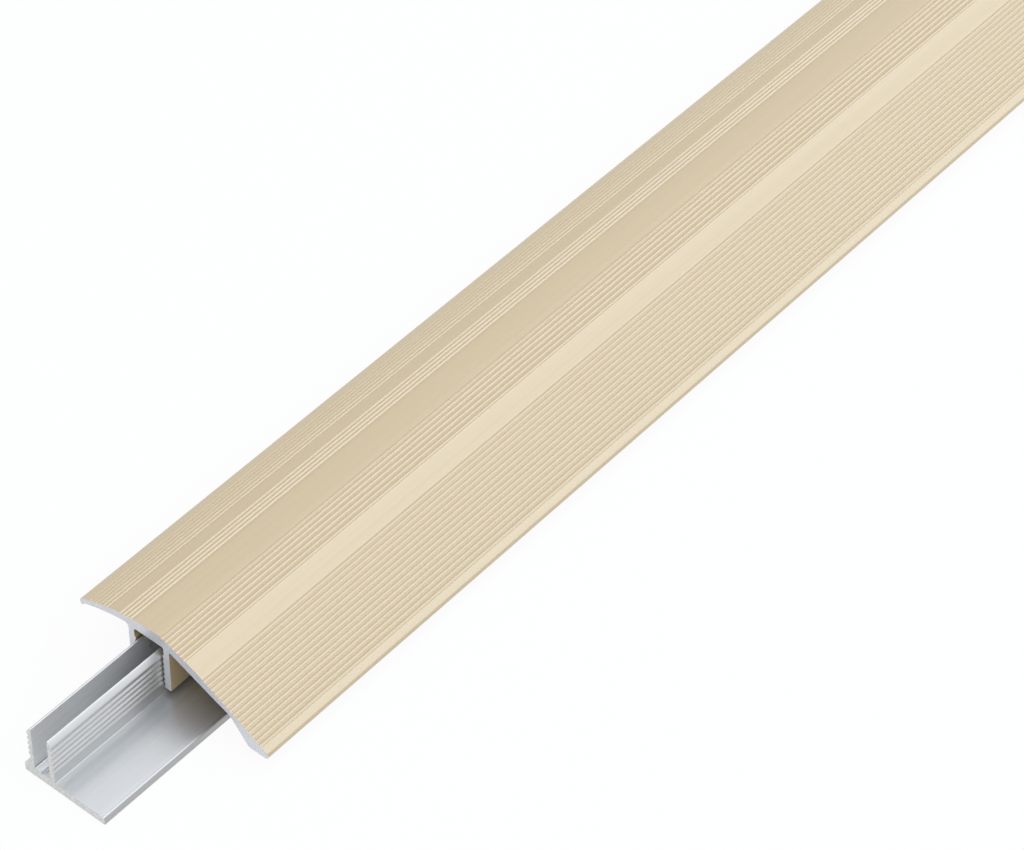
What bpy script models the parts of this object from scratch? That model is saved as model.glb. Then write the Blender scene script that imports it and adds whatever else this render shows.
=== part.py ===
"""Adapting threshold strip for a step between two floor coverings.

A toothed base rail is screwed to the subfloor through its flange. A ramped cover presses down over
the rail's two uprights, and teeth on its legs hold it at the height it is pressed to.

X runs across the strip towards the lower floor, Y along it and Z up. The origin lies under the
middle of the rail's channel, half way along the rail, on the subfloor.
"""

import math

import bmesh
import bpy

MM = 0.001

# Lengths along the strip
RAIL_LENGTH = 900 * MM
COVER_LENGTH = RAIL_LENGTH  # both are cut to the doorway's width
COVER_SET_BACK = 26.8 * MM  # the cover stands this far back from the rail's near end

# Base rail, across the strip
CHANNEL_WIDTH = 3.7 * MM
UPRIGHT_WALL = 1.1 * MM
UPRIGHT_HEIGHT = 12.1 * MM
UPRIGHT_LEAD_IN = 0.9 * MM  # height of the rounding that eases the cover's legs on
FLANGE_REACH = 14.5 * MM
FLANGE_THICKNESS = 1.7 * MM
FLANGE_EDGE_RADIUS = 0.5 * MM
STUB_REACH = 4.2 * MM
STUB_EDGE_HEIGHT = 1.9 * MM
STUB_TOP = 4.1 * MM
CHANNEL_FLOOR = 2.1 * MM
GUIDE_GROOVE_WIDTH = 0.9 * MM
GUIDE_GROOVE_DEPTH = 0.5 * MM
FOOT_FILLET = 0.4 * MM

# Teeth, the same on the rail's uprights and the cover's legs
TOOTH_PITCH = 1.3 * MM
TOOTH_DEPTH = 0.3 * MM
TOOTH_SLOPE = 0.8 * MM  # height of a groove's slanting side
TOOTH_CLEARANCE = 0.2 * MM  # between the tips of the rail's teeth and those of the legs
RAIL_PLAIN_FOOT = 2.5 * MM  # least height of the uprights' smooth part above the flange
RAIL_TOP_LAND = 0.4 * MM  # left smooth between the uppermost groove and the lead-in, besides a tooth
LEG_PLAIN_FOOT = 0.62 * MM

# Cover, across the strip. Its top runs from the lip over the shoulder to the toe
COVER_LIFT = 1.45 * MM  # the legs' feet stand this far above the flange and the stub
HEAD_ROOM = 1.5 * MM  # from the uprights' tops to the cover's bridge
BRIDGE_WALL = 2.45 * MM
LEG_WALL = 1.3 * MM
LEG_FOOT_CHAMFER = 0.25 * MM
WING_WALL = 1.7 * MM
WING_THINNING = 0.5 * MM  # the wing's wall is this much thinner where its lip begins
RAMP_WALL = 2.2 * MM
RAMP_THINNING = 0.8 * MM  # the ramp's wall is this much thinner where the toe begins
LIP_REACH = 16.45 * MM
LIP_RADIUS = 0.5 * MM
LIP_BEAD_WIDTH = 0.75 * MM
LIP_BEAD_HEIGHT = 1.6 * MM  # from the wing's edge down to the bead that rests on the higher floor
LIP_DROP = 3.83 * MM  # from the shoulder's left end down to the wing's edge
WING_BULGE = 0.74 * MM
SHOULDER_LEFT = 1.0 * MM
SHOULDER_OVERHANG = 0.45 * MM  # past the right leg's outer face
SHOULDER_FALL = 0.6 * MM  # from the shoulder's left end down to its right end
RAMP_BULGE = 0.6 * MM
TOE_REACH = 27.3 * MM
TOE_HEIGHT = 2.4 * MM  # the toe's flat underside above the subfloor
TOE_LENGTH = 4.5 * MM
TOE_BACK_RUN = 4.2 * MM
TOE_RADIUS = 0.8 * MM
TOE_TIP_ANGLE = 58  # degrees above level at which the toe's nose meets the ramp
WING_FILLET = 1.2 * MM
RAMP_FILLET = 0.5 * MM
BRIDGE_FILLET = 0.5 * MM

# Flutes along the cover's top: where each band starts and how wide it is
FLUTE_PITCH = 0.84 * MM
FLUTE_DEPTH = 0.18 * MM
FLUTE_STEPS = 6
PLAIN_STEP = 0.9 * MM
LIP_BAND_MARGIN = 1.75 * MM  # from the wing's edge
LIP_BAND_WIDTH = 5.15 * MM
WING_BAND_OUTSET = 2.0 * MM  # from the left leg's outer face
WING_BAND_WIDTH = 3.45 * MM
SHOULDER_BAND_INSET = 0.3 * MM  # from the tips of the right leg's teeth
SHOULDER_BAND_WIDTH = 6.0 * MM
RAMP_BAND_MARGIN = 0.96 * MM  # from the ramp's lower end
RAMP_BAND_WIDTH = 13.5 * MM

# Screws and wall plugs
SCREW_COUNT = 5
SCREW_END_DISTANCE = 50 * MM
SCREW_LENGTH = 25 * MM
SCREW_HEAD_DIAMETER = 7.0 * MM
SCREW_RIM = 0.25 * MM
SCREW_CORE_DIAMETER = 2.4 * MM
THREAD_DIAMETER = 3.5 * MM
THREAD_PITCH = 1.6 * MM
SCREW_NECK = 1.6 * MM
SCREW_POINT = 3.0 * MM
RECESS_WIDTH = 0.9 * MM
RECESS_SPAN = 3.6 * MM
RECESS_DEPTH = 1.3 * MM
HEAD_SUNK = 0.05 * MM  # the heads lie this far below the flange's top
SEAT_CLEARANCE = 0.35 * MM  # added to the head's radius for its seat in the flange
PLUG_WALL = 1.0 * MM
PLUG_LENGTH = 25 * MM
PLUG_CLEARANCE = 2.1 * MM  # the plugs are driven this far below the subfloor's surface
PLUG_RIBS = 6
PLUG_RIB_DEPTH = 0.3 * MM
PLUG_COLLAR = 2.0 * MM
PLUG_SLIT_WIDTH = 0.8 * MM
PLUG_SLIT_LENGTH = 15 * MM
BORE_CLEARANCE = 0.25 * MM
ROUND_STEPS = 16

# What follows from the sizes above
upright_outer = CHANNEL_WIDTH / 2 + UPRIGHT_WALL
leg_tips = upright_outer + TOOTH_CLEARANCE
leg_roots = leg_tips + TOOTH_DEPTH
leg_outer = leg_roots + LEG_WALL
leg_foot = FLANGE_THICKNESS + COVER_LIFT
stub_root = upright_outer - TOOTH_DEPTH
stub_slope = (STUB_TOP - STUB_EDGE_HEIGHT) / (STUB_REACH - stub_root)
left_leg_foot = STUB_TOP - stub_slope * (leg_tips - stub_root) + COVER_LIFT
bridge_underside = UPRIGHT_HEIGHT + HEAD_ROOM
shoulder_top = bridge_underside + BRIDGE_WALL
wing_edge = (-LIP_REACH + LIP_RADIUS, shoulder_top - LIP_DROP)
shoulder_start = (-SHOULDER_LEFT, shoulder_top)
shoulder_end = (leg_outer + SHOULDER_OVERHANG, shoulder_top - SHOULDER_FALL)
nose_centre = (TOE_REACH - TOE_RADIUS, TOE_HEIGHT + TOE_RADIUS)
ramp_end = (
    nose_centre[0] + TOE_RADIUS * math.cos(math.radians(TOE_TIP_ANGLE)),
    nose_centre[1] + TOE_RADIUS * math.sin(math.radians(TOE_TIP_ANGLE)),
)
toe_heel = TOE_REACH - TOE_LENGTH
toe_root = toe_heel - TOE_BACK_RUN
screw_x = (leg_outer + FLANGE_REACH) / 2
screw_pitch = (RAIL_LENGTH - 2 * SCREW_END_DISTANCE) / (SCREW_COUNT - 1)
screw_top = FLANGE_THICKNESS - HEAD_SUNK
bore_radius = THREAD_DIAMETER / 2 + BORE_CLEARANCE


# Outlines
def rounded(start, corner, end, steps=4):
    """Points of a smooth bend from start to end that leans towards the corner."""
    points = []
    for i in range(steps + 1):
        t = i / steps
        weights = ((1 - t) ** 2, 2 * t * (1 - t), t**2)
        x, z = (sum(w * p[axis] for w, p in zip(weights, (start, corner, end))) for axis in (0, 1))
        points.append((x, z))
    return points


def arc(centre, radius, first, last, steps):
    """Points on a circle from the first angle to the last, in degrees."""
    points = []
    for i in range(steps + 1):
        angle = math.radians(first + (last - first) * i / steps)
        points.append((centre[0] + radius * math.cos(angle), centre[1] + radius * math.sin(angle)))
    return points


def mirrored(points):
    """The same points on the other side of the channel, in the opposite order."""
    return [(-x, z) for x, z in reversed(points)]


def tooth_grooves(tips, roots, lowest, count, flat_side_up):
    """Grooves in an upright face, from the lowest up. One side of each is level and the other slants."""
    points = []
    for i in range(count):
        low = lowest + i * TOOTH_PITCH
        high = low + TOOTH_SLOPE
        points += [(tips, low), (roots, high if flat_side_up else low), (tips, high)]
    return points


def upright_outline():
    """The right upright, from its foot on the flange up the toothed face and down into the channel."""
    inner = CHANNEL_WIDTH / 2
    lead_in = UPRIGHT_HEIGHT - UPRIGHT_LEAD_IN
    highest = lead_in - RAIL_TOP_LAND
    teeth = int((highest - FLANGE_THICKNESS - RAIL_PLAIN_FOOT) / TOOTH_PITCH)
    foot = rounded(
        (upright_outer + FOOT_FILLET, FLANGE_THICKNESS),
        (upright_outer, FLANGE_THICKNESS),
        (upright_outer, FLANGE_THICKNESS + FOOT_FILLET),
    )
    grooves = tooth_grooves(
        upright_outer, upright_outer - TOOTH_DEPTH, highest - teeth * TOOTH_PITCH, teeth, flat_side_up=True
    )
    top = rounded((upright_outer, lead_in), (upright_outer, UPRIGHT_HEIGHT), (inner, UPRIGHT_HEIGHT), 6)
    return foot + grooves + top + [(inner, CHANNEL_FLOOR)]


def rail_outline():
    flange_edge = rounded(
        (FLANGE_REACH, FLANGE_THICKNESS - FLANGE_EDGE_RADIUS),
        (FLANGE_REACH, FLANGE_THICKNESS),
        (FLANGE_REACH - FLANGE_EDGE_RADIUS, FLANGE_THICKNESS),
    )
    right = upright_outline()
    guide_groove = [
        (GUIDE_GROOVE_WIDTH / 2, CHANNEL_FLOOR),
        (0, CHANNEL_FLOOR - GUIDE_GROOVE_DEPTH),
        (-GUIDE_GROOVE_WIDTH / 2, CHANNEL_FLOOR),
    ]
    left = [(x, z) for x, z in mirrored(right) if z > STUB_TOP + TOOTH_SLOPE / 2 or -x < stub_root]
    stub = [(-stub_root, STUB_TOP), (-STUB_REACH, STUB_EDGE_HEIGHT), (-STUB_REACH, 0)]
    return [(FLANGE_REACH, 0)] + flange_edge + right + guide_groove + left + stub


def bulged(x, left, right, bulge):
    """Height and slope at x of a shallow curve through two points that bulges up between them."""
    run = right[0] - left[0]
    t = (x - left[0]) / run
    height = left[1] + (right[1] - left[1]) * t + 4 * bulge * t * (1 - t)
    return height, (right[1] - left[1] + 4 * bulge * (1 - 2 * t)) / run


def crown(x):
    """Height of the cover's top at x, leaving out its flutes."""
    if x <= shoulder_start[0]:
        return bulged(x, wing_edge, shoulder_start, WING_BULGE)[0]
    if x >= shoulder_end[0]:
        return bulged(x, shoulder_end, ramp_end, RAMP_BULGE)[0]
    start_slope = bulged(shoulder_start[0], wing_edge, shoulder_start, WING_BULGE)[1]
    end_slope = bulged(shoulder_end[0], shoulder_end, ramp_end, RAMP_BULGE)[1]
    run = shoulder_end[0] - shoulder_start[0]
    t = (x - shoulder_start[0]) / run
    return (
        shoulder_start[1] * (1 + 2 * t) * (1 - t) ** 2
        + start_slope * run * t * (1 - t) ** 2
        + shoulder_end[1] * t**2 * (3 - 2 * t)
        + end_slope * run * t**2 * (t - 1)
    )


def flute_bands():
    """Start and count of the flutes in each band, from the lip to the toe, with a plain stretch between."""
    wanted = (
        (wing_edge[0] + LIP_BAND_MARGIN, LIP_BAND_WIDTH),
        (-leg_outer - WING_BAND_OUTSET, WING_BAND_WIDTH),
        (leg_tips - SHOULDER_BAND_INSET, SHOULDER_BAND_WIDTH),
        (ramp_end[0] - RAMP_BAND_MARGIN - RAMP_BAND_WIDTH, RAMP_BAND_WIDTH),
    )
    bands = []
    reached = wing_edge[0]
    for start, width in wanted:
        first = max(start, reached + FLUTE_PITCH)
        count = max(0, int((start + width - first) / FLUTE_PITCH + 1e-6))
        bands.append((first, count))
        reached = first + count * FLUTE_PITCH
    return bands


def cover_top(first, last):
    """The fluted top from the lip to the toe's nose."""
    points = []
    reached = first
    for start, count in flute_bands() + [(last, 0)]:
        plain = max(1, round((start - reached) / PLAIN_STEP))
        for i in range(plain):
            x = reached + (start - reached) * i / plain
            points.append((x, crown(x)))
        for i in range(count * FLUTE_STEPS):
            x = start + FLUTE_PITCH * i / FLUTE_STEPS
            groove = FLUTE_DEPTH * (1 - math.cos(2 * math.pi * i / FLUTE_STEPS)) / 2
            points.append((x, crown(x) - groove))
        reached = start + count * FLUTE_PITCH
    return points + [(last, crown(last))]


def leg_outline(foot_height):
    """A leg to the right, from its outer face round its foot and up its toothed inner face to the bridge.

    However high its foot is, its teeth stand at the same heights as those of the longer leg.
    """
    full = int((bridge_underside - BRIDGE_FILLET - leg_foot - LEG_PLAIN_FOOT) / TOOTH_PITCH) - 1
    highest = leg_foot + LEG_PLAIN_FOOT + full * TOOTH_PITCH
    teeth = full - math.ceil((foot_height - leg_foot) / TOOTH_PITCH - 1e-6)
    lowest = highest - teeth * TOOTH_PITCH
    foot = [
        (leg_outer, foot_height + LEG_FOOT_CHAMFER),
        (leg_outer - LEG_FOOT_CHAMFER, foot_height),
        (leg_tips + LEG_FOOT_CHAMFER, foot_height),
        (leg_tips, foot_height + LEG_FOOT_CHAMFER),
    ]
    corner = rounded(
        (leg_roots, bridge_underside - BRIDGE_FILLET),
        (leg_roots, bridge_underside),
        (leg_roots - BRIDGE_FILLET, bridge_underside),
    )
    grooves = tooth_grooves(leg_tips, leg_roots, lowest, teeth, flat_side_up=False)
    return foot + grooves + [(leg_tips, highest), (leg_roots, highest)] + corner


def ramp_underside(x):
    share = (x - leg_outer) / (toe_root - leg_outer)
    return crown(x) - RAMP_WALL + RAMP_THINNING * share**3


def wing_underside(x):
    share = (x + leg_outer) / (wing_edge[0] + leg_outer)
    return crown(x) - WING_WALL + WING_THINNING * share


def spaced(first, last):
    """Places from first to last, both included, about a plain step apart."""
    count = max(1, round(abs(last - first) / PLAIN_STEP))
    return [first + (last - first) * i / count for i in range(count + 1)]


def toe_outline():
    """Nose, flat underside and back of the toe, as far as the ramp's underside."""
    back_rise = (ramp_underside(toe_root) - TOE_HEIGHT) / TOE_BACK_RUN
    heel = rounded(
        (toe_heel + TOE_RADIUS, TOE_HEIGHT),
        (toe_heel, TOE_HEIGHT),
        (toe_heel - TOE_RADIUS / 2, TOE_HEIGHT + back_rise * TOE_RADIUS / 2),
    )
    root = rounded(
        (toe_root + TOE_RADIUS / 2, ramp_underside(toe_root) - back_rise * TOE_RADIUS / 2),
        (toe_root, ramp_underside(toe_root)),
        (toe_root - TOE_RADIUS, ramp_underside(toe_root - TOE_RADIUS)),
    )
    return arc(nose_centre, TOE_RADIUS, TOE_TIP_ANGLE, -90, 8)[1:] + heel + root


def lip_outline():
    """Bead and nose along the wing's edge, from the wing's underside round to the top."""
    left, top = -LIP_REACH, wing_edge[1]
    inside, middle = left + LIP_BEAD_WIDTH, left + LIP_BEAD_WIDTH / 2
    bead = top - LIP_BEAD_HEIGHT
    corner = top - LIP_RADIUS * bulged(wing_edge[0], wing_edge, shoulder_start, WING_BULGE)[1]
    nose = (left, corner - LIP_RADIUS)
    return (
        rounded((inside, wing_underside(inside)), (inside, bead), (middle, bead))
        + rounded((middle, bead), (left, bead), nose)[1:]
        + rounded(nose, (left, corner), wing_edge)[1:-1]
    )


def cover_outline():
    ramp_start = leg_outer + RAMP_FILLET
    under_ramp = [(x, ramp_underside(x)) for x in spaced(toe_root - TOE_RADIUS, ramp_start)][1:-1]
    ramp_corner = rounded(
        (ramp_start, ramp_underside(ramp_start)),
        (leg_outer, ramp_underside(leg_outer)),
        (leg_outer, ramp_underside(leg_outer) - RAMP_FILLET),
    )
    legs = leg_outline(leg_foot) + mirrored(leg_outline(left_leg_foot))
    wing_start = -leg_outer - WING_FILLET
    wing_corner = rounded(
        (-leg_outer, wing_underside(-leg_outer) - WING_FILLET),
        (-leg_outer, wing_underside(-leg_outer)),
        (wing_start, wing_underside(wing_start)),
    )
    under_wing = [(x, wing_underside(x)) for x in spaced(wing_start, LIP_BEAD_WIDTH - LIP_REACH)][1:-1]
    under = under_ramp + ramp_corner + legs + wing_corner + under_wing
    return cover_top(wing_edge[0], ramp_end[0]) + toe_outline() + under + lip_outline()


# Meshes
def prism(name, outline, first, last, upright=False):
    """A solid of one outline in X and Z drawn out along Y or, upright, an outline in X and Y along Z."""
    bm = bmesh.new()
    place = (lambda a, b: (a, b, first)) if upright else (lambda a, b: (a, first, b))
    face = bm.faces.new([bm.verts.new(place(a, b)) for a, b in outline])
    drawn = bmesh.ops.extrude_face_region(bm, geom=[face])["geom"]
    reach = (0, 0, last - first) if upright else (0, last - first, 0)
    bmesh.ops.translate(bm, verts=[v for v in drawn if isinstance(v, bmesh.types.BMVert)], vec=reach)
    bmesh.ops.recalc_face_normals(bm, faces=bm.faces)
    return finished(name, bm)


def turned(name, profile):
    """A solid of revolution about Z. The profile gives radii and heights from the top down."""
    bm = bmesh.new()
    verts = [bm.verts.new((radius, 0, z)) for radius, z in profile]
    edges = [bm.edges.new(pair) for pair in zip(verts, verts[1:])]
    bmesh.ops.spin(
        bm,
        geom=verts + edges,
        axis=(0, 0, 1),
        cent=(0, 0, 0),
        angle=2 * math.pi,
        steps=ROUND_STEPS,
        use_merge=True,
    )
    bmesh.ops.remove_doubles(bm, verts=bm.verts, dist=1e-6)
    bmesh.ops.recalc_face_normals(bm, faces=bm.faces)
    return finished(name, bm)


def finished(name, bm):
    mesh = bpy.data.meshes.new(name)
    bm.to_mesh(mesh)
    bm.free()
    mesh.shade_smooth()
    mesh.set_sharp_from_angle(angle=math.radians(30))
    return mesh


def placed(name, mesh, location, material=None):
    obj = bpy.data.objects.new(name, mesh)
    bpy.context.scene.collection.objects.link(obj)
    obj.location = location
    if material and not mesh.materials:
        mesh.materials.append(material)
    return obj


def cut(obj, cutter):
    cutter.hide_render = True
    cutter.display_type = "WIRE"
    modifier = obj.modifiers.new(cutter.name, "BOOLEAN")
    modifier.operation = "DIFFERENCE"
    modifier.solver = "EXACT"
    modifier.object = cutter


def cut_mesh(name, mesh, cutter_mesh):
    """The mesh with the cutter's shape taken out of it, as a mesh that several objects can share."""
    blank = placed(name + "_blank", mesh, (0, 0, 0))
    cutter = placed(name + "_cutter", cutter_mesh, (0, 0, 0))
    cut(blank, cutter)
    graph = bpy.context.evaluated_depsgraph_get()
    result = bpy.data.meshes.new_from_object(blank.evaluated_get(graph))
    for helper in (blank, cutter):
        bpy.data.objects.remove(helper)
    result.name = name
    return result


def metal_or_plastic(name, colour, metallic, roughness):
    material = bpy.data.materials.new(name)
    material.use_nodes = True
    shader = material.node_tree.nodes["Principled BSDF"]
    shader.inputs["Base Color"].default_value = (*colour, 1)
    shader.inputs["Metallic"].default_value = metallic
    shader.inputs["Roughness"].default_value = roughness
    return material


# Sub-parts
def seat_profile():
    """Countersunk hole through the flange, from above it to below it."""
    seat_radius = SCREW_HEAD_DIAMETER / 2 + SEAT_CLEARANCE
    seat_rim = screw_top - SCREW_RIM
    below = -FLANGE_THICKNESS / 2
    return [
        (0, 2 * FLANGE_THICKNESS),
        (seat_radius, 2 * FLANGE_THICKNESS),
        (seat_radius, seat_rim),
        (max(seat_radius - seat_rim + below, bore_radius), below),
        (0, below),
    ]


def screw_profile():
    """Countersunk head, neck, ringed thread and point, from the head's top down."""
    head = SCREW_HEAD_DIAMETER / 2
    core = SCREW_CORE_DIAMETER / 2
    cone_end = -SCREW_RIM - (head - core)
    thread_start = cone_end - SCREW_NECK
    thread_end = SCREW_POINT - SCREW_LENGTH
    rings = int((thread_start - thread_end) / THREAD_PITCH)
    thread = []
    for i in range(rings):
        z = thread_start - i * THREAD_PITCH
        thread += [(core, z), (THREAD_DIAMETER / 2, z - THREAD_PITCH / 2)]
    top = [(0, 0), (head, 0), (head, -SCREW_RIM), (core, cone_end)]
    return top + thread + [(core, thread_end), (0, -SCREW_LENGTH)]


def cross_outline():
    """Outline in X and Y of a cross-head recess."""
    near, far = RECESS_WIDTH / 2, RECESS_SPAN / 2
    arm = [(far, -near), (far, near), (near, near)]
    points = []
    for _ in range(4):
        points += arm
        arm = [(-y, x) for x, y in arm]
    return points


def plug_profile():
    """Ribbed sleeve with a bore right through it, from the bore's top round the outside and back up."""
    outer = bore_radius + PLUG_WALL
    rib_run = (PLUG_LENGTH - 2 * PLUG_COLLAR) / PLUG_RIBS
    ribs = []
    for i in range(PLUG_RIBS):
        z = -PLUG_COLLAR - i * rib_run
        ribs += [(outer, z), (outer - PLUG_RIB_DEPTH, z - rib_run / 4)]
    lower = PLUG_COLLAR - PLUG_LENGTH
    tip = [(outer, lower), (outer - PLUG_RIB_DEPTH, -PLUG_LENGTH)]
    return [(bore_radius, 0), (outer, 0)] + ribs + tip + [(bore_radius, -PLUG_LENGTH), (bore_radius, 0)]


def make_rail(material):
    mesh = prism("base_rail", rail_outline(), -RAIL_LENGTH / 2, RAIL_LENGTH / 2)
    rail = placed("base_rail", mesh, (0, 0, 0), material)
    seat = turned("screw_seat", seat_profile())
    for number, y in enumerate(screw_places(), 1):
        cut(rail, placed(f"screw_seat_{number}", seat, (screw_x, y, 0)))


def make_cover(material):
    """The cover's origin is on its height slide, in the middle of its own length."""
    middle = COVER_SET_BACK + (COVER_LENGTH - RAIL_LENGTH) / 2
    mesh = prism("cover", cover_outline(), -COVER_LENGTH / 2, COVER_LENGTH / 2)
    placed("cover", mesh, (0, middle, 0), material)


def screw_places():
    return [SCREW_END_DISTANCE - RAIL_LENGTH / 2 + i * screw_pitch for i in range(SCREW_COUNT)]


def make_fixings(screw_material, plug_material):
    blank = turned("screw_blank", screw_profile())
    recess = prism("recess", cross_outline(), -RECESS_DEPTH, RECESS_DEPTH, upright=True)
    screw = cut_mesh("screw", blank, recess)
    sleeve = turned("plug_sleeve", plug_profile())
    side, end = PLUG_SLIT_WIDTH / 2, 2 * (bore_radius + PLUG_WALL)
    slit_outline = [(-end, -side), (end, -side), (end, side), (-end, side)]
    slit = prism("slit", slit_outline, -2 * PLUG_LENGTH, PLUG_SLIT_LENGTH - PLUG_LENGTH, upright=True)
    plug = cut_mesh("wall_plug", sleeve, slit)
    for number, y in enumerate(screw_places(), 1):
        placed(f"screw_{number}", screw, (screw_x, y, screw_top), screw_material)
        placed(f"wall_plug_{number}", plug, (screw_x, y, -PLUG_CLEARANCE), plug_material)


def main():
    for obj in list(bpy.data.objects):
        bpy.data.objects.remove(obj)
    make_rail(metal_or_plastic("mill_aluminium", (0.62, 0.64, 0.66), 1.0, 0.35))
    make_cover(metal_or_plastic("sand_anodised_aluminium", (0.66, 0.56, 0.39), 0.7, 0.42))
    make_fixings(
        metal_or_plastic("zinc_plated_steel", (0.60, 0.60, 0.58), 1.0, 0.3),
        metal_or_plastic("grey_nylon", (0.42, 0.43, 0.44), 0.0, 0.5),
    )


main()
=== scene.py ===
from math import ceil, cos, pi, radians, sin

import bmesh
import bpy
from mathutils import Matrix, Vector


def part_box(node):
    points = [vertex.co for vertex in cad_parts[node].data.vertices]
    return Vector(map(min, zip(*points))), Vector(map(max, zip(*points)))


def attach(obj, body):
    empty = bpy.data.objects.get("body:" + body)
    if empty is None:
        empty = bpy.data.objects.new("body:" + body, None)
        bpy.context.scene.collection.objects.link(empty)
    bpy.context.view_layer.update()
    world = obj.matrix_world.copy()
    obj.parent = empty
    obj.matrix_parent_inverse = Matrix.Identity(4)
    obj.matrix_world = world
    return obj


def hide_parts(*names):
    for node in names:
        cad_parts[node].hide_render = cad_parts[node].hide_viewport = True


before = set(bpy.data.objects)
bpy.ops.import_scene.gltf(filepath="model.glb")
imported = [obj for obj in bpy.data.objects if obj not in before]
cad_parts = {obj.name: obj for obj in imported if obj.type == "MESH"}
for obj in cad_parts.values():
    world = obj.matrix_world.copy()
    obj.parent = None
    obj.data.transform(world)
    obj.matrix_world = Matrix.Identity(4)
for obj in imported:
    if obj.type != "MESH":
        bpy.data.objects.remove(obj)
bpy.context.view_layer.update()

# Threshold strip: a fluted cover that presses down over a toothed rail.
# X runs across the strip, Y along it, Z up from the subfloor. Sections are drawn in millimetres.
mm = 0.001


# small helpers
def bend(start, corner, end, steps=6):
    # smooth curve from start to end that leans towards the corner
    points = []
    for i in range(steps + 1):
        t = i / steps
        weights = ((1 - t) ** 2, 2 * t * (1 - t), t**2)
        points.append(tuple(sum(w * x for w, x in zip(weights, axis)) for axis in zip(start, corner, end)))
    return points


def softened(points, radius, steps=2):
    # the same line with its inner corners rounded, short stretches by no more than they allow
    most = 0.45
    result = [points[0]]
    for before, corner, after in zip(points, points[1:], points[2:]):
        here = Vector(corner)
        back, ahead = Vector(before) - here, Vector(after) - here
        start = here + back.normalized() * min(radius, back.length * most)
        end = here + ahead.normalized() * min(radius, ahead.length * most)
        result += bend(tuple(start), corner, tuple(end), steps)
    return result + [points[-1]]


def flipped(points):
    return [(-x, z) for x, z in reversed(points)]


def smoothed(mesh):
    mesh.shade_smooth()
    mesh.set_sharp_from_angle(angle=radians(30))
    return mesh


def toMesh(name, bm):
    # millimetres become metres here
    bmesh.ops.scale(bm, vec=(mm, mm, mm), verts=bm.verts)
    mesh = bpy.data.meshes.new(name)
    bm.to_mesh(mesh)
    bm.free()
    return smoothed(mesh)


def addObject(name, mesh, *materials):
    obj = bpy.data.objects.new(name, mesh)
    bpy.context.scene.collection.objects.link(obj)
    for material in materials:
        mesh.materials.append(material)
    return obj


def drawnOut(name, outline, first, last):
    # a section drawn out along Y. Its two cut ends take the second material
    bm = bmesh.new()
    cutEnd = bm.faces.new([bm.verts.new((x, first, z)) for x, z in outline])
    extruded = bmesh.ops.extrude_face_region(bm, geom=[cutEnd])["geom"]
    farVerts = [part for part in extruded if isinstance(part, bmesh.types.BMVert)]
    bmesh.ops.translate(bm, vec=(0, last - first, 0), verts=farVerts)
    bmesh.ops.recalc_face_normals(bm, faces=bm.faces)
    for face in bm.faces:
        if abs(face.normal.y) > 0.9:
            face.material_index = 1
    return toMesh(name, bm)


def spun(profile, steps, **how):
    # radii and heights spun about Z
    bm = bmesh.new()
    verts = [bm.verts.new((radius, 0, z)) for radius, z in profile]
    edges = [bm.edges.new(pair) for pair in zip(verts, verts[1:])]
    bmesh.ops.spin(bm, geom=verts + edges, axis=(0, 0, 1), cent=(0, 0, 0), angle=2 * pi, steps=steps, **how)
    bmesh.ops.remove_doubles(bm, verts=bm.verts, dist=0.001)
    return bm


def turned(profile, steps):
    bm = spun(profile, steps, use_merge=True)
    bmesh.ops.recalc_face_normals(bm, faces=bm.faces)
    return bm


def block(size):
    bm = bmesh.new()
    bmesh.ops.create_cube(bm, size=1)
    bmesh.ops.scale(bm, vec=size, verts=bm.verts)
    return bm


def placed(obj, *place):
    # moves the mesh and leaves the object at the origin
    obj.data.transform(Matrix.Translation(Vector(place) * mm))


def cutAway(obj, cutters):
    # takes the cutters out of the object for good
    for cutter in cutters:
        boolean = obj.modifiers.new("cut", "BOOLEAN")
        boolean.operation, boolean.solver, boolean.object = "DIFFERENCE", "EXACT", cutter
    graph = bpy.context.evaluated_depsgraph_get()
    mesh = bpy.data.meshes.new_from_object(obj.evaluated_get(graph))
    obj.modifiers.clear()
    obj.data = mesh
    for cutter in cutters:
        bpy.data.objects.remove(cutter)
    smoothed(mesh)


# finishes
noiseRange = (0.3, 0.7)


def addNode(material, kind, **values):
    node = material.node_tree.nodes.new(kind)
    for key, value in values.items():
        if key in node.inputs:
            node.inputs[key].default_value = value
        else:
            setattr(node, key, value)
    return node


def newFinish(name, settings):
    material = bpy.data.materials.new(name)
    material.use_nodes = True
    shader = material.node_tree.nodes["Principled BSDF"]
    for socket, value in settings["shader"].items():
        shader.inputs[socket].default_value = value
    return material, shader


def grain(material, size, detail=3.0, turn=(0, 0, 0)):
    # noise with features of the given size in mm along x, y and z
    coords = addNode(material, "ShaderNodeTexCoord")
    mapping = addNode(material, "ShaderNodeMapping", Rotation=turn, Scale=tuple(1 / (s * mm) for s in size))
    noise = addNode(material, "ShaderNodeTexNoise", Scale=1.0, Detail=detail, Roughness=0.55)
    join = material.node_tree.links.new
    join(coords.outputs["Object"], mapping.inputs["Vector"])
    join(mapping.outputs["Vector"], noise.inputs["Vector"])
    return noise.outputs["Fac"]


def spread(material, value, low, high):
    node = addNode(material, "ShaderNodeMapRange")
    for socket, number in zip(("From Min", "From Max", "To Min", "To Max"), (*noiseRange, low, high)):
        node.inputs[socket].default_value = number
    material.node_tree.links.new(value, node.inputs["Value"])
    return node.outputs["Result"]


def tinted(material, value, dark, light):
    ramp = addNode(material, "ShaderNodeValToRGB")
    for stop, position, colour in zip(ramp.color_ramp.elements, noiseRange, (dark, light)):
        stop.position, stop.color = position, (*colour, 1)
    material.node_tree.links.new(value, ramp.inputs["Fac"])
    return ramp.outputs["Color"]


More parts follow.
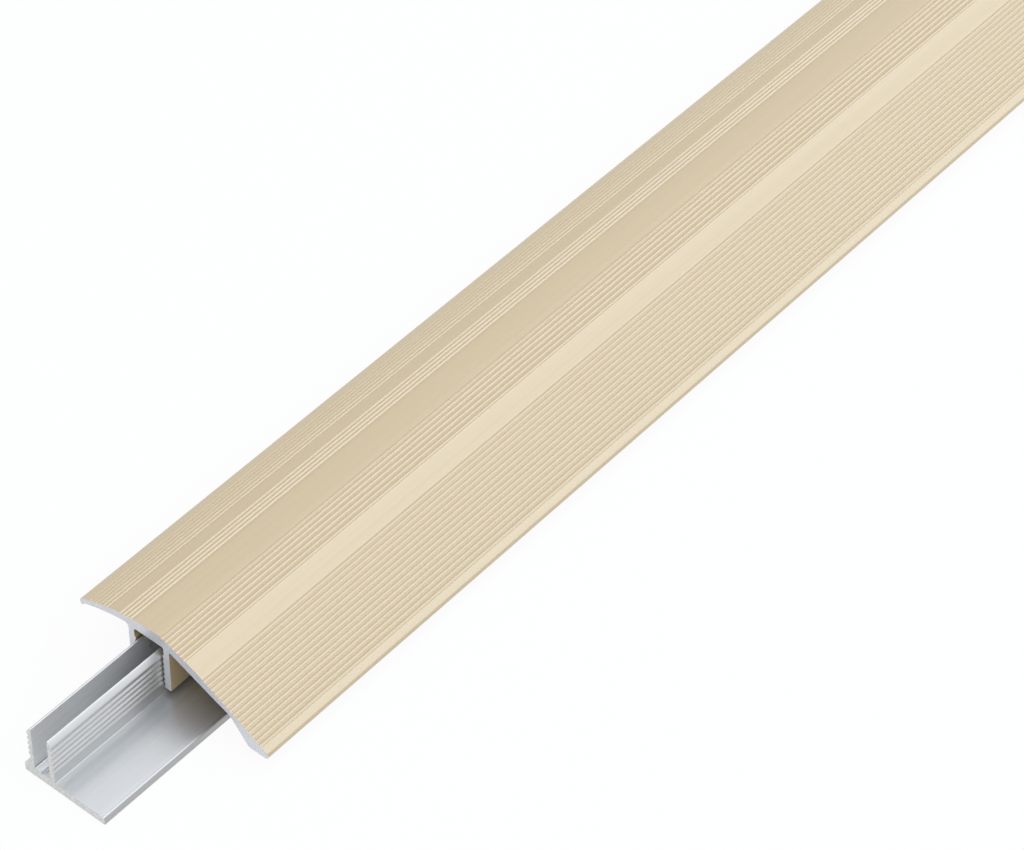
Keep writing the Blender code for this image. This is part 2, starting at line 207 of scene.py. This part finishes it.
def embossed(material, shader, patterns, bumps):
    # bumps laid one over the other, each with its height in mm and its strength
    last = None
    for pattern, (height, strength) in zip(patterns, bumps):
        bump = addNode(material, "ShaderNodeBump", Strength=strength, Distance=height * mm)
        material.node_tree.links.new(pattern, bump.inputs["Height"])
        if last:
            material.node_tree.links.new(last, bump.inputs["Normal"])
        last = bump.outputs["Normal"]
    material.node_tree.links.new(last, shader.inputs["Normal"])


def anodisedFinish():
    settings = {
        "shader": {"Metallic": 0.05, "Coat Weight": 1.0, "Coat IOR": 1.8, "Coat Roughness": 0.165},
        "dark": (0.490, 0.368, 0.200),
        "light": (0.515, 0.390, 0.217),
        "roughness": (0.38, 0.46),
        "dieLineSize": (0.5, 160, 0.5),
        "satinSize": (0.12, 0.3, 0.12),
        "bumps": ((0.01, 0.25), (0.004, 0.25)),
    }
    material, shader = newFinish("sandAnodised", settings)
    join = material.node_tree.links.new
    dieLines = grain(material, settings["dieLineSize"], 4.0)
    satin = grain(material, settings["satinSize"], 2.0)
    join(tinted(material, dieLines, settings["dark"], settings["light"]), shader.inputs["Base Color"])
    join(spread(material, satin, *settings["roughness"]), shader.inputs["Roughness"])
    embossed(material, shader, (dieLines, satin), settings["bumps"])
    return material


def millFinish():
    settings = {
        "shader": {"Metallic": 0.7},
        "dark": (0.485, 0.485, 0.482),
        "light": (0.585, 0.585, 0.575),
        "roughness": (0.3, 0.38),
        "drawLineSize": (0.6, 220, 0.6),
        "broadLineSize": (3.0, 300, 3.0),
        "fineLineSize": (0.14, 80, 0.14),
        "hazeSize": (0.2, 0.9, 0.2),
        "bumps": ((0.012, 0.4), (0.02, 0.5)),
    }
    material, shader = newFinish("millAluminium", settings)
    join = material.node_tree.links.new
    drawLines = grain(material, settings["drawLineSize"], 5.0)
    broadLines = grain(material, settings["broadLineSize"], 2.0)
    fineLines = grain(material, settings["fineLineSize"], 2.0)
    haze = grain(material, settings["hazeSize"])
    mixed = addNode(material, "ShaderNodeMix", Factor=0.5)
    join(drawLines, mixed.inputs[2])
    join(broadLines, mixed.inputs[3])
    # the faces carry painted light and shade as a tone on the base colour: some brightened, some darkened
    paintedLightAndShade = addNode(material, "ShaderNodeAttribute", attribute_name="paintedLightAndShade")
    shade = addNode(material, "ShaderNodeHueSaturation")
    join(paintedLightAndShade.outputs["Fac"], shade.inputs["Value"])
    join(tinted(material, mixed.outputs[0], settings["dark"], settings["light"]), shade.inputs["Color"])
    join(shade.outputs["Color"], shader.inputs["Base Color"])
    join(spread(material, haze, *settings["roughness"]), shader.inputs["Roughness"])
    embossed(material, shader, (drawLines, fineLines), settings["bumps"])
    return material


def cutFinish(name):
    # bare aluminium where the saw went through
    settings = {
        "shader": {"Metallic": 0.5},
        "sawnRailEnd": ((0.56, 0.565, 0.54), (0.84, 0.845, 0.81)),
        "sawnCoverEnd": ((0.66, 0.665, 0.69), (0.84, 0.845, 0.87)),
        "roughness": (0.42, 0.6),
        "sawMarkSize": (4.0, 4.0, 0.12),
        "sawMarkTurn": 28,
        "tornSize": (0.35, 0.35, 0.35),
        "bumps": ((0.02, 0.5), (0.02, 0.4)),
    }
    material, shader = newFinish(name, settings)
    join = material.node_tree.links.new
    sawMarks = grain(material, settings["sawMarkSize"], turn=(0, radians(settings["sawMarkTurn"]), 0))
    torn = grain(material, settings["tornSize"], 4.0)
    join(tinted(material, torn, *settings[name]), shader.inputs["Base Color"])
    join(spread(material, torn, *settings["roughness"]), shader.inputs["Roughness"])
    embossed(material, shader, (sawMarks, torn), settings["bumps"])
    return material


def cloudyFinish(name, settings):
    material, shader = newFinish(name, settings)
    join = material.node_tree.links.new
    cloud = grain(material, settings["cloudSize"])
    join(tinted(material, cloud, settings["dark"], settings["light"]), shader.inputs["Base Color"])
    join(spread(material, cloud, *settings["roughness"]), shader.inputs["Roughness"])
    embossed(material, shader, (cloud,), settings["bumps"])
    return material


zincPlate = {
    "shader": {"Metallic": 1.0},
    "dark": (0.60, 0.60, 0.58),
    "light": (0.74, 0.74, 0.71),
    "roughness": (0.2, 0.34),
    "cloudSize": (0.8, 0.8, 0.8),
    "bumps": ((0.01, 0.3),),
}
greyNylon = {
    "shader": {"Subsurface Weight": 0.05},
    "dark": (0.39, 0.40, 0.41),
    "light": (0.46, 0.47, 0.48),
    "roughness": (0.42, 0.56),
    "cloudSize": (0.5, 0.5, 0.9),
    "bumps": ((0.02, 0.3),),
}


# base rail
rail = {
    "channelWidth": 3.7,
    "uprightWall": 1.1,
    "uprightHeight": 12.1,
    "leadIn": 1.1,
    "flangeReach": 14.5,
    "flangeThickness": 1.7,
    "flangeEdgeRadius": 0.5,
    "stubReach": 4.2,
    "stubEdgeHeight": 1.9,
    "stubTop": 4.1,
    "channelFloor": 2.1,
    "guideGrooveWidth": 0.9,
    "guideGrooveDepth": 0.5,
    "footFillet": 0.15,
    "plainFoot": 2.5,
    "topLand": 0.2,
    "crestInset": 0.2,
    "crestRadius": 0.15,
    "crestInnerRun": 1.0,
    "heelFillet": 0.3,
    "grooveRun": 0.3,
    "grooveRadius": 0.12,
    "stubRadius": 0.15,
    # painted light and shade, as factors on the base colour: crest and channel walls brightened, tooth tips,
    # plain foot and flange edge darkened
    "crestPaintedLight": 1.02,
    "tipPaintedShade": 0.82,
    "footPaintedShade": 0.88,
    "channelPaintedLight": 1.6,
    "edgePaintedShade": 0.78,
}
teeth = {"pitch": 1.3, "depth": 0.3, "slope": 0.8, "clearance": 0.2, "rounding": 0.07}
uprightOuter = rail["channelWidth"] / 2 + rail["uprightWall"]
uprightRoots = uprightOuter - teeth["depth"]


def toothRow(tips, roots, lowest, count, flatSideUp):
    # grooves from the lowest up. The rail's have a bevelled lower side and a level upper one
    bottom = [(roots, teeth["depth"]), (roots, teeth["slope"])] if flatSideUp else [(roots, 0)]
    points = []
    for i in range(count):
        low = lowest + i * teeth["pitch"]
        points += [(tips, low)] + [(x, low + rise) for x, rise in bottom] + [(tips, low + teeth["slope"])]
    return points


def uprightSection():
    inner, outer = rail["channelWidth"] / 2, uprightOuter
    height, inset = rail["uprightHeight"], rail["crestInset"]
    thickness, fillet = rail["flangeThickness"], rail["footFillet"]
    foot = bend((outer + fillet, thickness), (outer, thickness), (outer, thickness + fillet))

    leadIn = height - rail["leadIn"]
    highest = leadIn - rail["topLand"]
    count = int((highest - thickness - rail["plainFoot"]) / teeth["pitch"])
    row = toothRow(outer, uprightRoots, highest - count * teeth["pitch"], count, True)
    face = softened(foot[-1:] + row + [(outer, leadIn)], teeth["rounding"])

    crest = [face[-2], (outer, leadIn), (inner + inset, height), (inner, height - inset)]
    crest.append((inner, height - rail["crestInnerRun"]))
    floor, fillet = rail["channelFloor"], rail["heelFillet"]
    heel = bend((inner, floor + fillet), (inner, floor), (inner - fillet, floor), steps=4)
    return foot[:-1] + face[:-1] + softened(crest, rail["crestRadius"], steps=4)[1:-1] + heel


def railSection():
    reach, thickness, radius = rail["flangeReach"], rail["flangeThickness"], rail["flangeEdgeRadius"]
    edge = bend((reach, thickness - radius), (reach, thickness), (reach - radius, thickness), steps=8)
    right = uprightSection()

    half, run, floor = rail["guideGrooveWidth"] / 2, rail["grooveRun"], rail["channelFloor"]
    side, bottom = [(half + run, floor), (half, floor)], (0, floor - rail["guideGrooveDepth"])
    guide = softened(side + [bottom] + flipped(side), rail["grooveRadius"])[1:-1]

    # the stub hides the lowest part of the left upright's outer face
    stubTop, stubReach = rail["stubTop"], rail["stubReach"]
    left = [(x, z) for x, z in flipped(right) if z > stubTop + teeth["slope"] / 2 or -x < uprightRoots]
    stub = [(-uprightRoots, stubTop + 2 * rail["stubRadius"]), (-uprightRoots, stubTop)]
    stub += [(-stubReach, rail["stubEdgeHeight"]), (-stubReach, 0)]
    return [(reach, 0)] + edge + right + guide + left + softened(stub, rail["stubRadius"])[1:]


def paintLightAndShadeOnRail(mesh):
    # each face's tone beside the flange's 1, which paints light and shade into the colour. The walls of the
    # channel
    # # and the crest are brighter with painted light, while the tips of the teeth, the plain foot and the
    # flange's edge are darker with painted shade
    paintedLightAndShade = mesh.attributes.new("paintedLightAndShade", "FLOAT", "FACE")
    inner, lowest = rail["channelWidth"] / 2, rail["flangeThickness"] + rail["plainFoot"]
    near, around, clear = 0.05, 0.2, 0.02
    for face, value in zip(mesh.polygons, paintedLightAndShade.data):
        side, height = abs(face.center.x) / mm, face.center.z / mm
        upright = abs(face.normal.x) > 0.99
        # painted light: the channel walls made brighter
        if upright and height > rail["channelFloor"] + rail["heelFillet"] and abs(side - inner) < near:
            value.value = rail["channelPaintedLight"]
        # painted light: the crest made a little brighter
        elif height > rail["uprightHeight"] - rail["leadIn"]:
            value.value = rail["crestPaintedLight"]
        # painted shade: the plain foot made darker
        elif rail["flangeThickness"] + clear < height < lowest and abs(side - uprightOuter) < around:
            value.value = rail["footPaintedShade"]
        # painted shade: the tooth tips made darker, drawing dark lines between the teeth
        elif upright and height > lowest and abs(side - uprightOuter) < near:
            value.value = rail["tipPaintedShade"]
        # painted shade: the flange's rounded edge made darker, dimming its highlight
        elif side > rail["flangeReach"] - rail["flangeEdgeRadius"]:
            value.value = rail["edgePaintedShade"]
        else:
            value.value = 1.0


def makeRail(finish, sawn, screwX, screwYs):
    low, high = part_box("base_rail")
    mesh = drawnOut("toothedRail", railSection(), low.y / mm, high.y / mm)
    obj = addObject("toothedRail", mesh, finish, sawn)
    seatRadius = screw["headDiameter"] / 2 + screw["seatClearance"]
    seatRim = rail["flangeThickness"] - screw["sunk"] - screw["rim"]
    lower = seatRim - (seatRadius - boreRadius)
    # the cutter ends well above the flange and below it
    top, bottom = 2 * rail["flangeThickness"], -rail["flangeThickness"]
    profile = [(0, top), (seatRadius, top), (seatRadius, seatRim)]
    profile += [(boreRadius, lower), (boreRadius, bottom), (0, bottom)]
    cutters = []
    for y in screwYs:
        bm = turned(profile, screw["seatSteps"])
        bmesh.ops.translate(bm, vec=(screwX, y, 0), verts=bm.verts)
        cutters.append(addObject("seatCutter", toMesh("seatCutter", bm)))
    cutAway(obj, cutters)
    paintLightAndShadeOnRail(obj.data)
    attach(obj, "base")
    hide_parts("base_rail")


# screws
screw = {
    "count": 5,
    "endDistance": 50,
    "length": 25,
    "headDiameter": 7.0,
    "rim": 0.25,
    "coreDiameter": 2.4,
    "threadDiameter": 3.5,
    "threadPitch": 1.6,
    # shares of a pitch at which the thread rises, comes to its crest and leaves it
    "threadShares": (0.5, 0.72, 0.78),
    "threadFade": 0.9,
    "tipThread": 0.45,
    "neck": 1.6,
    "point": 3.0,
    "recessWidth": 0.9,
    "recessSpan": 3.6,
    "recessDepth": 1.3,
    "recessTaper": 0.55,
    "rimChamfer": 0.08,
    "sunk": 0.05,
    "seatClearance": 0.35,
    "boreClearance": 0.25,
    "leastTaper": 0.04,
    "pointCut": 0.05,
    "threadSteps": 24,
    "seatSteps": 48,
}
boreRadius = screw["threadDiameter"] / 2 + screw["boreClearance"]


def threadShank():
    # a zigzag that climbs one pitch in a full turn, so that it meets itself
    core, crest, pitch = screw["coreDiameter"] / 2, screw["threadDiameter"] / 2, screw["threadPitch"]
    coneEnd = -screw["rim"] - (screw["headDiameter"] / 2 - core)
    top, tip = coneEnd - screw["neck"], -screw["length"]
    rise, peak, leave = screw["threadShares"]
    points = []
    for i in range(ceil((top - tip) / pitch) + 2):
        z = top + pitch - i * pitch
        points += [(core, z), (core, z - rise * pitch)]
        points += [(crest, z - peak * pitch), (crest, z - leave * pitch)]
    bm = spun(points, screw["threadSteps"], dvec=(0, 0, -pitch / screw["threadSteps"]))
    share = screw["tipThread"]
    for v in bm.verts:
        radius = Vector((v.co.x, v.co.y)).length
        fade = min(1, max(0, (top - v.co.z) / pitch)) * min(1, max(0, (v.co.z - tip) / screw["threadFade"]))
        taper = min(1, max(screw["leastTaper"], (v.co.z - tip) / screw["point"]))
        wanted = core * taper + (radius - core) * fade * (share + (1 - share) * taper)
        v.co.x, v.co.y = v.co.x * wanted / radius, v.co.y * wanted / radius
    for height, side in ((top, 1), (tip + screw["pointCut"], -1)):
        whole = list(bm.verts) + list(bm.edges) + list(bm.faces)
        cut = {"plane_co": (0, 0, height), "plane_no": (0, 0, side), "dist": 0.0001}
        bmesh.ops.bisect_plane(bm, geom=whole, clear_outer=True, **cut)
    return bm, top, coneEnd


def screwMesh():
    bm, top, coneEnd = threadShank()
    head, core = screw["headDiameter"] / 2, screw["coreDiameter"] / 2
    rim, chamfer = screw["rim"], screw["rimChamfer"]
    ends = bmesh.ops.holes_fill(bm, edges=[e for e in bm.edges if e.is_boundary], sides=0)["faces"]
    neck = max(ends, key=lambda face: face.calc_center_median().z)
    # neck, cone, rim and the rim's chamfer
    steps = [(coneEnd - top, 1), (-rim - coneEnd, head / core), (rim - chamfer, 1)]
    for rise, grow in steps + [(chamfer, (head - chamfer) / head)]:
        neck = bmesh.ops.extrude_discrete_faces(bm, faces=[neck])["faces"][0]
        bmesh.ops.translate(bm, vec=(0, 0, rise), verts=neck.verts)
        bmesh.ops.scale(bm, vec=(grow, grow, 1), verts=neck.verts)
    bmesh.ops.recalc_face_normals(bm, faces=bm.faces)
    return toMesh("screw", bm)


def recessBlades():
    # two crossed tapering blades cut the cross in the head
    span, width, taper = screw["recessSpan"], screw["recessWidth"], screw["recessTaper"]
    blades = []
    for across, along in ((span, width), (width, span)):
        bm = block((across, along, 2 * screw["recessDepth"]))
        bmesh.ops.scale(bm, vec=(taper, taper, 1), verts=[v for v in bm.verts if v.co.z < 0])
        blades.append(addObject("recessBlade", toMesh("recessBlade", bm)))
    return blades


def makeScrews(finish, screwX, screwYs):
    for number, y in enumerate(screwYs, 1):
        obj = addObject(f"countersunkScrew{number}", screwMesh(), finish)
        cutAway(obj, recessBlades())
        placed(obj, screwX, y, rail["flangeThickness"] - screw["sunk"])
        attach(obj, "base")
        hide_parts(f"screw_{number}")


# wall plugs
plug = {
    "wall": 1.0,
    "length": 25,
    "clearance": 2.1,
    "ribs": 6,
    "ribDepth": 0.3,
    "collar": 2.0,
    "mouthChamfer": 0.15,
    "slitWidth": 0.8,
    "slitLength": 15,
    "steps": 40,
}
plugRadius = boreRadius + plug["wall"]


def plugProfile():
    bore, outer, length, collar = boreRadius, plugRadius, plug["length"], plug["collar"]
    root, chamfer = outer - plug["ribDepth"], plug["mouthChamfer"]
    run = (length - 2 * collar) / plug["ribs"]
    points = [(bore, -chamfer), (bore + chamfer, 0), (outer - chamfer, 0), (outer, -chamfer)]
    for i in range(plug["ribs"]):
        z = -collar - i * run
        points += [(outer, z), (root, z - run / 4)]
    return points + [(outer, collar - length), (root, -length), (bore, -length), (bore, -chamfer)]


def makePlugs(finish, screwX, screwYs):
    for number, y in enumerate(screwYs, 1):
        mesh = toMesh("wallPlug", turned(plugProfile(), plug["steps"]))
        obj = addObject(f"wallPlug{number}", mesh, finish)
        slit = block((4 * plugRadius, plug["slitWidth"], 2 * plug["slitLength"]))
        bmesh.ops.translate(slit, vec=(0, 0, -plug["length"]), verts=slit.verts)
        cutAway(obj, [addObject("slitCutter", toMesh("slitCutter", slit))])
        placed(obj, screwX, y, -plug["clearance"])
        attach(obj, "base")
        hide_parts(f"wall_plug_{number}")


# cover
cover = {
    "lift": 1.45,
    "headRoom": 1.5,
    "bridgeWall": 2.45,
    "legWall": 1.3,
    "legPlainFoot": 0.62,
    "footChamfer": 0.25,
    "wingWall": 1.7,
    "wingThinning": 0.5,
    "rampWall": 2.2,
    "rampThinning": 0.8,
    "lipReach": 16.45,
    "lipRadius": 0.5,
    "beadWidth": 0.75,
    "beadHeight": 1.6,
    "lipDrop": 3.83,
    "wingBulge": 0.74,
    "shoulderLeft": 1.0,
    "shoulderOverhang": 0.45,
    "shoulderFall": 0.6,
    "rampBulge": 0.6,
    "toeReach": 27.3,
    "toeHeight": 2.4,
    "toeLength": 4.5,
    "toeBackRun": 4.2,
    "toeRadius": 0.8,
    "toeTipAngle": 58,
    "wingFillet": 1.2,
    "rampFillet": 0.5,
    "bridgeFillet": 0.5,
    "undersideStep": 0.6,
}
flutes = {
    "pitch": 0.84,
    "plainStep": 0.3,
    "wallSteps": 7,
    "lipMargin": 1.75,
    "lipCount": 6,
    "wingOutset": 2.0,
    "wingCount": 4,
    "shoulderInset": 0.3,
    "shoulderCount": 7,
    "rampMargin": 1.02,
    "rampCount": 16,
    # depth of a groove, shares of the pitch that are plain on top and at the bottom, softness of its walls
    "soft": (0.145, 0.0, 0.0, 1.0),
    "deep": (0.25, 0.08, 0.36, 0.1),
    "crisp": (0.18, 0.13, 0.42, 0.0),
}
legTips = uprightOuter + teeth["clearance"]
legRoots = legTips + teeth["depth"]
legOuter = legRoots + cover["legWall"]
legFoot = rail["flangeThickness"] + cover["lift"]
stubSlope = (rail["stubTop"] - rail["stubEdgeHeight"]) / (rail["stubReach"] - uprightRoots)
leftLegFoot = rail["stubTop"] - stubSlope * (legTips - uprightRoots) + cover["lift"]
bridgeUnderside = rail["uprightHeight"] + cover["headRoom"]
shoulderTop = bridgeUnderside + cover["bridgeWall"]
wingEdge = (cover["lipRadius"] - cover["lipReach"], shoulderTop - cover["lipDrop"])
shoulderStart = (-cover["shoulderLeft"], shoulderTop)
shoulderEnd = (legOuter + cover["shoulderOverhang"], shoulderTop - cover["shoulderFall"])
tipAngle = radians(cover["toeTipAngle"])


def onNose(angle):
    # a point of the toe's rounded tip
    radius = cover["toeRadius"]
    return cover["toeReach"] - radius + radius * cos(angle), cover["toeHeight"] + radius + radius * sin(angle)


rampEnd = onNose(tipAngle)
toeHeel = cover["toeReach"] - cover["toeLength"]
toeRoot = toeHeel - cover["toeBackRun"]


def arched(x, left, right, bulge):
    # height and slope of a shallow arch between two points
    run, rise = right[0] - left[0], right[1] - left[1]
    t = (x - left[0]) / run
    return left[1] + rise * t + 4 * bulge * t * (1 - t), (rise + 4 * bulge * (1 - 2 * t)) / run


def crown(x):
    # height of the cover's top without its flutes
    if x <= shoulderStart[0]:
        return arched(x, wingEdge, shoulderStart, cover["wingBulge"])[0]
    if x >= shoulderEnd[0]:
        return arched(x, shoulderEnd, rampEnd, cover["rampBulge"])[0]
    startSlope = arched(shoulderStart[0], wingEdge, shoulderStart, cover["wingBulge"])[1]
    endSlope = arched(shoulderEnd[0], shoulderEnd, rampEnd, cover["rampBulge"])[1]
    run = shoulderEnd[0] - shoulderStart[0]
    t = (x - shoulderStart[0]) / run
    return (
        shoulderStart[1] * (1 + 2 * t) * (1 - t) ** 2
        + startSlope * run * t * (1 - t) ** 2
        + shoulderEnd[1] * t**2 * (3 - 2 * t)
        + endSlope * run * t**2 * (t - 1)
    )


def fluteBands():
    # start, number and shape of the flutes in each band, from the lip to the toe
    rampWidth = flutes["rampCount"] * flutes["pitch"]
    return [
        (wingEdge[0] + flutes["lipMargin"], flutes["lipCount"], flutes["soft"]),
        (-legOuter - flutes["wingOutset"], flutes["wingCount"], flutes["soft"]),
        (legTips - flutes["shoulderInset"], flutes["shoulderCount"], flutes["deep"]),
        (rampEnd[0] - flutes["rampMargin"] - rampWidth, flutes["rampCount"], flutes["crisp"]),
    ]


def groove(start, shape):
    # one flute: down one wall, along the bottom and up the other wall
    depth, land, bottom, softness = shape
    wall = flutes["pitch"] * (1 - land - bottom) / 2
    left, right = start + flutes["pitch"] * land / 2, start + flutes["pitch"] * (1 - land / 2)
    points = []
    for foot, side in ((left, 1), (right, -1)):
        slope = []
        for step in range(flutes["wallSteps"] + 1):
            share = step / flutes["wallSteps"]
            x = foot + side * wall * share
            curved = (1 - cos(pi * share)) / 2
            slope.append((x, crown(x) - depth * (share + (curved - share) * softness)))
        points += slope if side > 0 else slope[::-1]
    return points


def evenly(first, last, step):
    count = max(1, round(abs(last - first) / step))
    return [first + (last - first) * i / count for i in range(count + 1)]


def coverTop():
    points = []
    reached = wingEdge[0]
    for start, count, shape in fluteBands() + [(rampEnd[0], 0, None)]:
        points += [(x, crown(x)) for x in evenly(reached, start, flutes["plainStep"])[:-1]]
        for i in range(count):
            points += groove(start + i * flutes["pitch"], shape)
        reached = start + count * flutes["pitch"]
    # neighbouring grooves may share a point
    apart = [here for here, after in zip(points, points[1:]) if abs(here[0] - after[0]) > 1e-6]
    return apart + [points[-1], rampEnd]


def legSection(footHeight):
    plain, chamfer, fillet = cover["legPlainFoot"], cover["footChamfer"], cover["bridgeFillet"]
    under, pitch = bridgeUnderside, teeth["pitch"]
    full = int((under - fillet - legFoot - plain) / pitch) - 1
    highest = legFoot + plain + full * pitch
    count = full - ceil((footHeight - legFoot) / pitch - 1e-6)
    low, side = footHeight, footHeight + chamfer
    foot = bend((legOuter, side), (legOuter, low), (legOuter - chamfer, low), steps=4)
    foot += bend((legTips + chamfer, low), (legTips, low), (legTips, side), steps=4)
    row = toothRow(legTips, legRoots, highest - count * pitch, count, False)
    corner = bend((legRoots, under - fillet), (legRoots, under), (legRoots - fillet, under))
    inner = foot[-1:] + row + [(legTips, highest), (legRoots, highest), corner[0]]
    return foot[:-1] + softened(inner, teeth["rounding"])[:-1] + corner


def rampUnderside(x):
    share = (x - legOuter) / (toeRoot - legOuter)
    return crown(x) - cover["rampWall"] + cover["rampThinning"] * share**3


def wingUnderside(x):
    share = (x + legOuter) / (wingEdge[0] + legOuter)
    return crown(x) - cover["wingWall"] + cover["wingThinning"] * share


def toeSection():
    radius, height = cover["toeRadius"], cover["toeHeight"]
    rise = (rampUnderside(toeRoot) - height) / cover["toeBackRun"]
    steps = 16
    nose = [onNose(tipAngle - (tipAngle + pi / 2) * i / steps) for i in range(1, steps + 1)]
    run, climb = radius / 2, rise * radius / 2
    heel = bend((toeHeel + radius, height), (toeHeel, height), (toeHeel - run, height + climb))
    corner, beyond = ((x, rampUnderside(x)) for x in (toeRoot, toeRoot - radius))
    root = bend((corner[0] + run, corner[1] - climb), corner, beyond)
    return nose + heel + root


def lipSection():
    left, top, radius = -cover["lipReach"], wingEdge[1], cover["lipRadius"]
    inside, middle = left + cover["beadWidth"], left + cover["beadWidth"] / 2
    bead = top - cover["beadHeight"]
    corner = top - radius * arched(wingEdge[0], wingEdge, shoulderStart, cover["wingBulge"])[1]
    nose = (left, corner - radius)
    inner = bend((inside, wingUnderside(inside)), (inside, bead), (middle, bead), steps=8)
    outer = bend((middle, bead), (left, bead), nose, steps=8)
    return inner + outer[1:] + bend(nose, (left, corner), wingEdge, steps=8)[1:-1]


def coverSection():
    step, fillet = cover["undersideStep"], cover["rampFillet"]
    start, under = legOuter + fillet, rampUnderside(legOuter)
    ramp = [(x, rampUnderside(x)) for x in evenly(toeRoot - cover["toeRadius"], start, step)]
    ramp = ramp[1:-1] + bend(ramp[-1], (legOuter, under), (legOuter, under - fillet))

    fillet = cover["wingFillet"]
    start, under = -legOuter - fillet, wingUnderside(-legOuter)
    wing = [(x, wingUnderside(x)) for x in evenly(start, cover["beadWidth"] - cover["lipReach"], step)]
    wing = bend((-legOuter, under - fillet), (-legOuter, under), wing[0], steps=10) + wing[1:-1]

    legs = legSection(legFoot) + flipped(legSection(leftLegFoot))
    return coverTop() + toeSection() + ramp + legs + wing + lipSection()


def makeCover(finish, sawn):
    low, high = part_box("cover")
    mesh = drawnOut("flutedCover", coverSection(), low.y / mm, high.y / mm)
    obj = addObject("flutedCover", mesh, finish, sawn)
    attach(obj, "cover_body")
    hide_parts("cover")


# studio
studio = {
    "floorLevel": -0.2,
    "floorSize": 12000,
    "floorColour": (0.72, 0.72, 0.72),
    "worldLevel": 0.5,
    # how much of the floor's own shading shows through its white
    "shadowShare": 0.06,
}
softboxes = {
    # angle from straight above towards the ramp, width across and radiance
    "wingSide": {"angle": -25, "width": 0.92, "level": 0.2},
    "above": {"angle": 2, "width": 0.76, "level": 1.9},
    "rampSide": {"angle": 40, "width": 0.87, "level": 1.62},
}
boxes = {"distance": 1.27, "along": 0.3, "length": 3.2, "colour": (0.79, 0.88, 1.0)}
view = {"place": (0.33352, -0.73247, 0.52907), "turn": (44.2912, -0.6421, 40.0412), "lens": 140.625}


def seenDirectly(tree):
    # one for camera, glossy and transmission rays
    path = tree.nodes.new("ShaderNodeLightPath")
    total = path.outputs["Is Camera Ray"]
    for ray in ("Is Glossy Ray", "Is Transmission Ray"):
        larger = tree.nodes.new("ShaderNodeMath")
        larger.operation = "MAXIMUM"
        tree.links.new(total, larger.inputs[0])
        tree.links.new(path.outputs[ray], larger.inputs[1])
        total = larger.outputs[0]
    return total


def makeWorld():
    world = bpy.data.worlds.new("studio")
    bpy.context.scene.world = world
    world.use_nodes = True
    tree = world.node_tree
    tree.nodes.clear()
    light, white = (tree.nodes.new("ShaderNodeBackground") for _ in range(2))
    light.inputs["Color"].default_value = (1, 1, 1, 1)
    light.inputs["Strength"].default_value = studio["worldLevel"]
    white.inputs["Color"].default_value = (1, 1, 1, 1)
    white.inputs["Strength"].default_value = 1
    mix, out = tree.nodes.new("ShaderNodeMixShader"), tree.nodes.new("ShaderNodeOutputWorld")
    tree.links.new(seenDirectly(tree), mix.inputs[0])
    tree.links.new(light.outputs[0], mix.inputs[1])
    tree.links.new(white.outputs[0], mix.inputs[2])
    tree.links.new(mix.outputs[0], out.inputs["Surface"])


def makeFloor():
    bm = bmesh.new()
    bmesh.ops.create_grid(bm, x_segments=1, y_segments=1, size=studio["floorSize"] / 2)
    bmesh.ops.translate(bm, vec=(0, 0, studio["floorLevel"]), verts=bm.verts)
    material = bpy.data.materials.new("paleFloor")
    material.use_nodes = True
    tree = material.node_tree
    shader, out = tree.nodes["Principled BSDF"], tree.nodes["Material Output"]
    shader.inputs["Base Color"].default_value = (*studio["floorColour"], 1)
    shader.inputs["Roughness"].default_value = 0.9
    white, mix = tree.nodes.new("ShaderNodeEmission"), tree.nodes.new("ShaderNodeMixShader")
    share = tree.nodes.new("ShaderNodeMath")
    share.operation = "MULTIPLY"
    share.inputs[1].default_value = 1 - studio["shadowShare"]
    tree.links.new(seenDirectly(tree), share.inputs[0])
    tree.links.new(share.outputs[0], mix.inputs[0])
    tree.links.new(shader.outputs[0], mix.inputs[1])
    tree.links.new(white.outputs[0], mix.inputs[2])
    tree.links.new(mix.outputs[0], out.inputs["Surface"])
    addObject("floor", toMesh("floor", bm), material)


def makeLights():
    for name, box in softboxes.items():
        light = bpy.data.lights.new(name, "AREA")
        light.shape = "RECTANGLE"
        light.size, light.size_y = box["width"], boxes["length"]
        light.energy = box["level"] * pi * box["width"] * boxes["length"]
        light.color = boxes["colour"]
        obj = bpy.data.objects.new(name, light)
        bpy.context.scene.collection.objects.link(obj)
        angle = radians(box["angle"])
        away = Vector((sin(angle), 0, cos(angle)))
        obj.location = away * boxes["distance"] + Vector((0, boxes["along"], 0))
        obj.rotation_euler = away.to_track_quat("Z", "X").to_euler()
        obj.visible_camera = False


def makeCamera():
    camera = bpy.data.cameras.new("camera")
    camera.lens = view["lens"]
    camera.sensor_width = 36
    obj = bpy.data.objects.new("camera", camera)
    bpy.context.scene.collection.objects.link(obj)
    obj.location = view["place"]
    obj.rotation_euler = [radians(angle) for angle in view["turn"]]
    bpy.context.scene.camera = obj


# put together
bpy.context.scene.view_settings.view_transform = "Standard"
makeCamera()
makeWorld()
makeFloor()
makeLights()
print("studio ready")

screwX = (legOuter + rail["flangeReach"]) / 2
railLow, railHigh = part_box("base_rail")
firstScrew, lastScrew = railLow.y / mm + screw["endDistance"], railHigh.y / mm - screw["endDistance"]
screwStep = (lastScrew - firstScrew) / (screw["count"] - 1)
screwYs = [firstScrew + screwStep * i for i in range(screw["count"])]

makeRail(millFinish(), cutFinish("sawnRailEnd"), screwX, screwYs)
print("rail ready")
makeScrews(cloudyFinish("zincPlate", zincPlate), screwX, screwYs)
makePlugs(cloudyFinish("greyNylon", greyNylon), screwX, screwYs)
print("screws and plugs ready")
makeCover(anodisedFinish(), cutFinish("sawnCoverEnd"))
print("cover ready")
